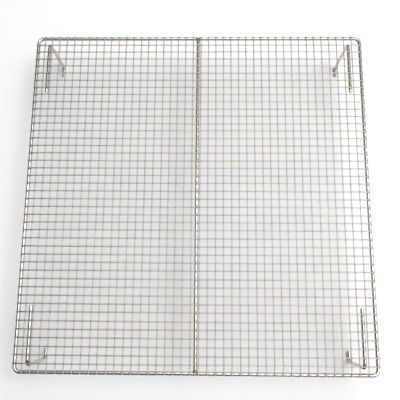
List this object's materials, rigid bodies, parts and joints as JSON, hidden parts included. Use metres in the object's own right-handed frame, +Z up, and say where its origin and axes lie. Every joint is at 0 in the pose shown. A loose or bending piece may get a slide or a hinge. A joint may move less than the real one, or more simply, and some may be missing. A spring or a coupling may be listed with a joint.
{
  "type": "wire cooling rack",
  "caption": "Square cooling rack of welded wire: a fine grid in a rounded rim of thick wire, with a bar under its middle and a hook-shaped leg near each corner.",
  "frame": {"origin": "on the ground, below the middle of the rim", "axes": "+Z up through the mesh, +X to the right along the cross wires, +Y to the back along the long wires and the centre bar"},
  "size_m": [0.61, 0.61, 0.108],
  "materials": {
    "plated_wire": "bright plated steel wire, drawn smooth, with a faint warm tone",
    "weld": "plated weld metal, slightly rippled"
  },
  "bodies": {
    "root": {"rim_hoop": "plated_wire", "centre_bar": "plated_wire", "bar_weld_front": "weld", "leg_front_left": "plated_wire", "leg_front_right": "plated_wire", "bar_weld_back": "weld", "leg_back_left": "plated_wire", "leg_back_right": "plated_wire", "long_wires_01": "plated_wire", "long_wires_02": "plated_wire", "long_wires_03": "plated_wire", "long_wires_04": "plated_wire", "long_wires_05": "plated_wire", "long_wires_06": "plated_wire", "long_wires_07": "plated_wire", "long_wires_08": "plated_wire", "long_wires_09": "plated_wire", "long_wires_10": "plated_wire", "long_wires_11": "plated_wire", "long_wires_12": "plated_wire", "long_wires_13": "plated_wire", "long_wires_14": "plated_wire", "long_wires_15": "plated_wire", "long_wires_16": "plated_wire", "long_wires_17": "plated_wire", "long_wires_18": "plated_wire", "long_wires_19": "plated_wire", "long_wires_20": "plated_wire", "long_wires_21": "plated_wire", "cross_wires_01": "plated_wire", "cross_wires_02": "plated_wire", "cross_wires_03": "plated_wire", "cross_wires_04": "plated_wire", "cross_wires_05": "plated_wire", "cross_wires_06": "plated_wire", "cross_wires_07": "plated_wire", "cross_wires_08": "plated_wire", "cross_wires_09": "plated_wire", "cross_wires_10": "plated_wire", "cross_wires_11": "plated_wire", "cross_wires_12": "plated_wire", "cross_wires_13": "plated_wire", "cross_wires_14": "plated_wire", "cross_wires_15": "plated_wire", "cross_wires_16": "plated_wire", "cross_wires_17": "plated_wire", "cross_wires_18": "plated_wire", "cross_wires_19": "plated_wire", "cross_wires_20": "plated_wire", "cross_wires_21": "plated_wire"}
  },
  "joints": []
}
